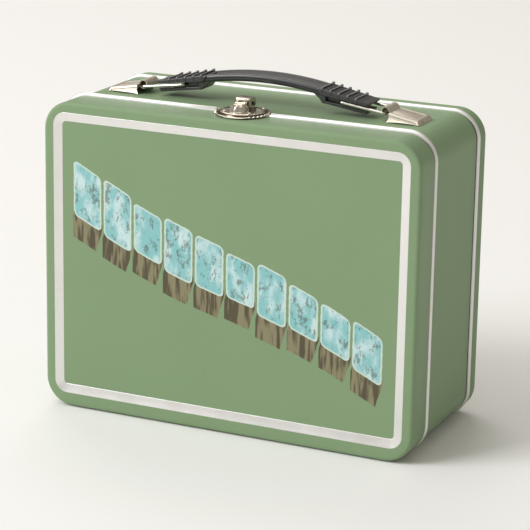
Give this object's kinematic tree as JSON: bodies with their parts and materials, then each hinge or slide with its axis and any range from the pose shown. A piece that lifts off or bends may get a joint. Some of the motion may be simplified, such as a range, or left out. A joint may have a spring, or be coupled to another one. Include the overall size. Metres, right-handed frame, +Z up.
{
  "type": "lunch box",
  "caption": "Rectangular tin lunch box with a front lid hinged at the bottom, a snap latch on top and an arched carry handle on wire rings.",
  "frame": {"origin": "on the ground under the middle of the closed case", "axes": "+X across the width, -Y out of the lid's face, +Z up"},
  "size_m": [0.2184, 0.0962, 0.1883],
  "materials": {
    "green_paint": "satin sage green enamel",
    "green_panel": "satin sage green enamel",
    "rim_tin": "bright rolled tinplate",
    "bright_frame": "bright pressed tinplate",
    "zinc_hinge": "zinc plated",
    "nickel_bracket": "warm nickel plated",
    "nickel_latch": "bright nickel plated",
    "ring_wire": "bright plated wire",
    "black_plastic": "semi-gloss charcoal black"
  },
  "bodies": {
    "case": {"body_band": "green_paint", "front_rim": "rim_tin", "rear_rim": "rim_tin", "rear_shell": "green_paint", "rear_frame": "bright_frame", "rear_panel": "green_panel", "hinge_leaves_body": "zinc_hinge", "hinge_pins": "zinc_hinge", "handle_bracket_left": "nickel_bracket", "handle_bracket_right": "nickel_bracket", "latch_plate": "nickel_latch", "latch_plate_rivets": "nickel_latch", "latch_pin": "nickel_latch"},
    "lid": {"lid_shell": "green_paint", "front_frame": "bright_frame", "front_panel": "green_panel", "hinge_leaves_lid": "zinc_hinge", "latch_catch": "nickel_latch", "latch_catch_rivets": "nickel_latch"},
    "lever": {"latch_lever": "nickel_latch"},
    "handle": {"carry_handle": "black_plastic"},
    "ring_left": {"ring_left": "ring_wire"},
    "ring_right": {"ring_right": "ring_wire"}
  },
  "joints": [
    {"name": "lid_hinge", "type": "hinge", "parent": "case", "child": "lid", "pos_m": [0, -0.02825, 0.0012], "axis": [1, 0, 0], "range_deg": [0, 100]},
    {"name": "latch_hinge", "type": "hinge", "parent": "case", "child": "lever", "pos_m": [0, -0.0238, 0.1769], "axis": [-1, 0, 0], "range_deg": [0, 100]},
    {"name": "handle_lift", "type": "slide", "parent": "case", "child": "handle", "axis": [0, 0, 1], "range_m": [0, 0.015]},
    {"name": "ring_left_pivot", "type": "hinge", "parent": "case", "child": "ring_left", "pos_m": [-0.0711, 0.0015, 0.1751], "axis": [0, -1, 0], "range_deg": [0, 35]},
    {"name": "ring_right_pivot", "type": "hinge", "parent": "case", "child": "ring_right", "pos_m": [0.0711, 0.0015, 0.1751], "axis": [0, 1, 0], "range_deg": [0, 35]}
  ],
  "couplings": [
    {"joint": "ring_left_pivot", "follows": "handle_lift", "rad_per_m": 40.5},
    {"joint": "ring_right_pivot", "follows": "handle_lift", "rad_per_m": 40.5}
  ]
}
